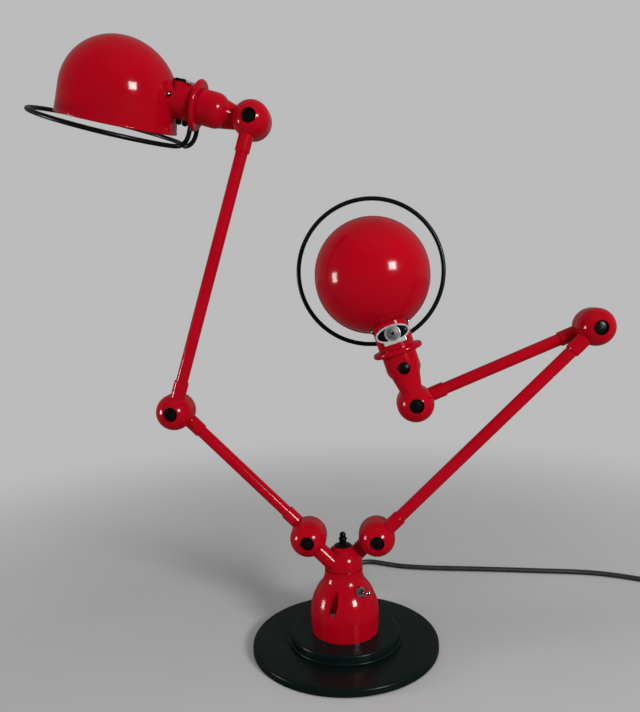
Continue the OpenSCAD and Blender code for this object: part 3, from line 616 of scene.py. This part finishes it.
def makeStage(s):  # floor and world
    half = s["floor"] / 2
    mesh = bpy.data.meshes.new("floor")
    corners = [(x * half, y * half, -s["floorDrop"]) for x, y in ((-1, -1), (1, -1), (1, 1), (-1, 1))]
    mesh.from_pydata(corners, [], [(0, 1, 2, 3)])
    mat, tree, shader = startMaterial("paleFloor")
    tone = s["floorTone"]
    patches = noiseAt(tree, s["floorPatch"])
    tree.links.new(ramp(tree, patches, s["patchDepth"] * tone, tone), shader.inputs["Base Color"])
    shader.inputs["Roughness"].default_value = s["floorRough"]
    shader.inputs["Specular IOR Level"].default_value = s["floorShine"]
    # the far floor turns into the background's own tone
    length = addNode(tree, "ShaderNodeVectorMath", operation="LENGTH")
    tree.links.new(addNode(tree, "ShaderNodeTexCoord").outputs["Object"], length.inputs[0])
    glow = addNode(tree, "ShaderNodeEmission", Color=(s["pale"], s["pale"], s["pale"], 1))
    mix = addNode(tree, "ShaderNodeMixShader")
    fade = rangeNode(tree, length.outputs["Value"], (s["fadeFrom"], s["fadeTo"], 0, 1), True)
    tree.links.new(fade, mix.inputs["Fac"])
    tree.links.new(shader.outputs["BSDF"], mix.inputs[1])
    tree.links.new(glow.outputs["Emission"], mix.inputs[2])
    # dimmer in reflections, as a table in a room would be
    dim = addNode(tree, "ShaderNodeMath", operation="MULTIPLY")
    tree.links.new(addNode(tree, "ShaderNodeLightPath").outputs["Is Glossy Ray"], dim.inputs[0])
    dim.inputs[1].default_value = 1 - s["floorMirrored"]
    shown = addNode(tree, "ShaderNodeMixShader")
    tree.links.new(dim.outputs["Value"], shown.inputs["Fac"])
    tree.links.new(mix.outputs["Shader"], shown.inputs[1])
    tree.links.new(addNode(tree, "ShaderNodeEmission", Strength=0.0).outputs["Emission"], shown.inputs[2])
    tree.links.new(shown.outputs["Shader"], tree.nodes["Material Output"].inputs["Surface"])
    mesh.materials.append(mat)
    floor = bpy.data.objects.new("floor", mesh)
    bpy.context.scene.collection.objects.link(floor)
    # world: pale to the camera, paler ahead than behind in reflections, an even ambient tone for the rest
    world = bpy.data.worlds.new("paleRoom")
    bpy.context.scene.world = world
    world.use_nodes = True
    tree = world.node_tree
    split = addNode(tree, "ShaderNodeSeparateXYZ")
    tree.links.new(addNode(tree, "ShaderNodeTexCoord").outputs["Generated"], split.inputs[0])
    seen = rangeNode(tree, split.outputs["Y"], (-s["skyTurn"], s["skyTurn"], s["skyBehind"], s["skyAhead"]))
    path = addNode(tree, "ShaderNodeLightPath")
    tone = s["ambient"]
    for ray, value in (("Is Glossy Ray", seen), ("Is Transmission Ray", seen), ("Is Camera Ray", s["pale"])):
        mix = addNode(tree, "ShaderNodeMix", data_type="FLOAT")
        tree.links.new(path.outputs[ray], mix.inputs["Factor"])
        for socket, source in zip(("A", "B"), (tone, value)):
            if isinstance(source, float):
                mix.inputs[socket].default_value = source
            else:
                tree.links.new(source, mix.inputs[socket])
        tone = mix.outputs["Result"]
    tree.links.new(tone, tree.nodes["Background"].inputs["Color"])


def makeLamp(name, lamp):  # a rectangle that looks at its aim
    data = bpy.data.lights.new(name, "AREA")
    data.shape = "RECTANGLE"
    data.size, data.size_y = lamp["size"]
    data.energy = lamp["power"]
    obj = bpy.data.objects.new(name, data)
    bpy.context.scene.collection.objects.link(obj)
    obj.visible_glossy = lamp.get("mirrored", True)
    z = unit(np.array(lamp["place"]) - np.array(lamp["aim"]))
    x = unit(np.cross([0, 0, 1.0], z))
    turn = np.eye(4)
    turn[:3, 0], turn[:3, 1], turn[:3, 2], turn[:3, 3] = x, np.cross(z, x), z, lamp["place"]
    obj.matrix_world = Matrix(turn.tolist())


makeStage(stageLook)
for lampName, lampForm in lamps.items():
    makeLamp(lampName, lampForm)
bpy.context.scene.view_settings.view_transform = "Standard"
print("stage lit")
